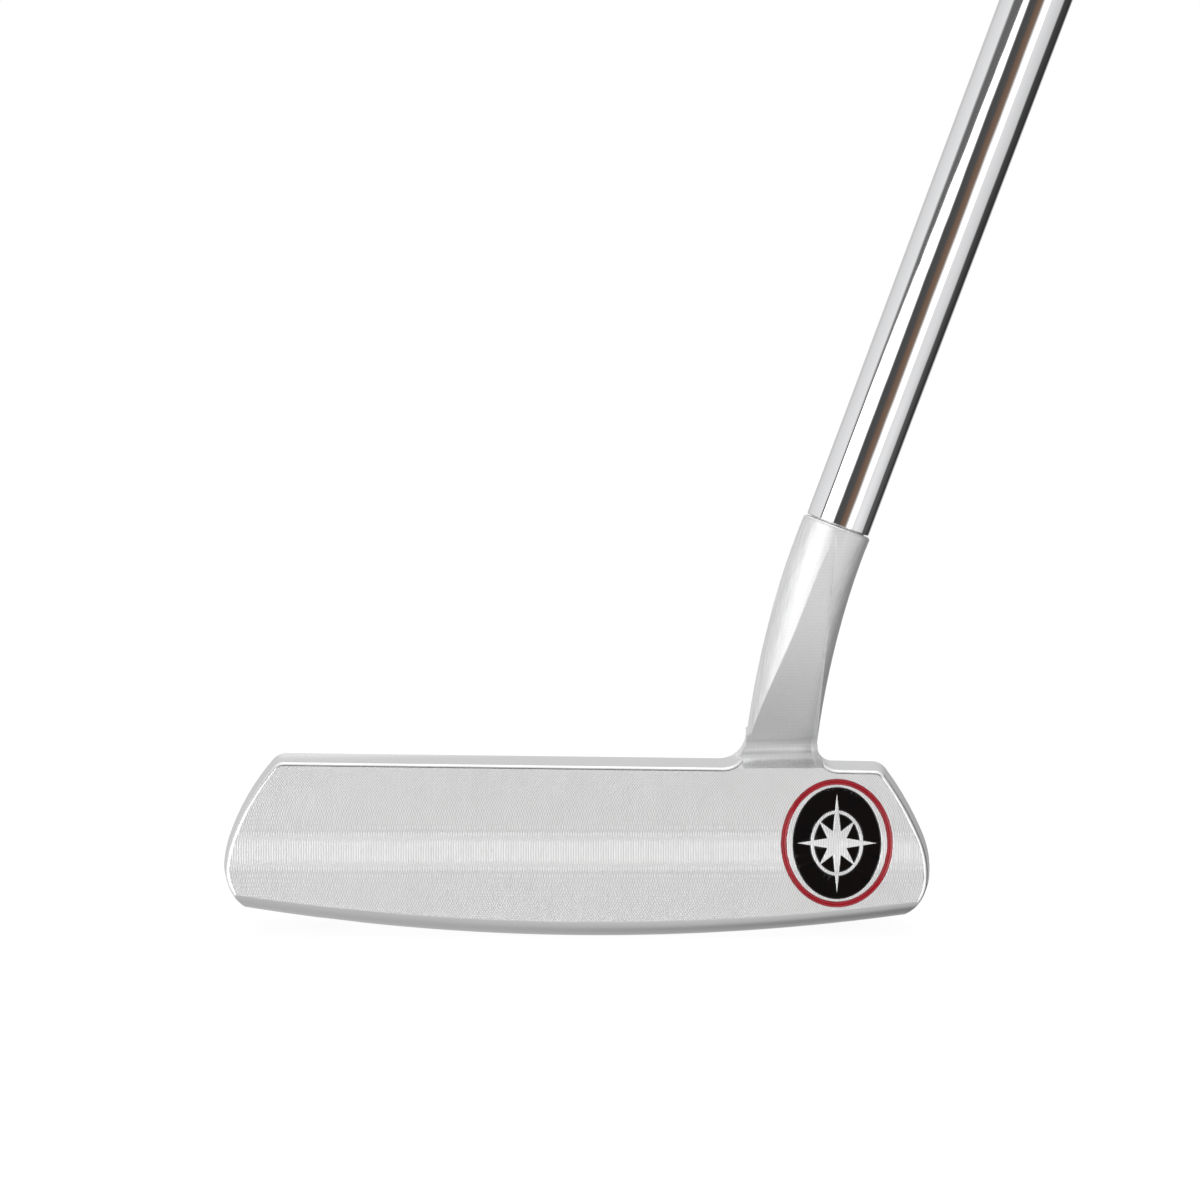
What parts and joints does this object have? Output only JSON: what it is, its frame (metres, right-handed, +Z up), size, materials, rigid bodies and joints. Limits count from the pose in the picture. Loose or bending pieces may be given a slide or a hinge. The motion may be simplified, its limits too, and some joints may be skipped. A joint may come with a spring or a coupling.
{
  "type": "blade putter",
  "caption": "Right-handed blade putter: one-piece milled steel head with a flowing neck and enamelled oval badge, chromed steel shaft over the neck's post, rubber pistol grip.",
  "frame": {"origin": "on the strike face, straight above the sole's lowest point and 13.3 mm above the ground", "axes": "-Y is the way the ball leaves (the strike face looks that way, lofted 3.5 degrees up), +Z is up with the club standing as at address, +X is towards the heel and the player, -X towards the toe"},
  "size_m": [0.3916, 0.039, 0.8124],
  "materials": {
    "milled_steel": "fly-milled satin",
    "red_enamel": "gloss paint fill",
    "black_enamel": "gloss paint fill",
    "weight_steel": "turned",
    "seal_rubber": "matt",
    "epoxy": "cured adhesive",
    "shaft_chrome": "mirror",
    "tape_paper": "masking tape",
    "grip_rubber": "fine moulded texture",
    "cap_rubber": "smooth"
  },
  "bodies": {
    "root": {"head_body": "milled_steel", "ring_enamel": "red_enamel", "emblem_enamel": "black_enamel", "sight_line_paint": "black_enamel", "sole_weights": "weight_steel", "weight_seals": "seal_rubber", "hosel_epoxy": "epoxy", "shaft": "shaft_chrome", "grip_tape": "tape_paper", "grip": "grip_rubber", "grip_end_cap": "cap_rubber"}
  },
  "joints": []
}
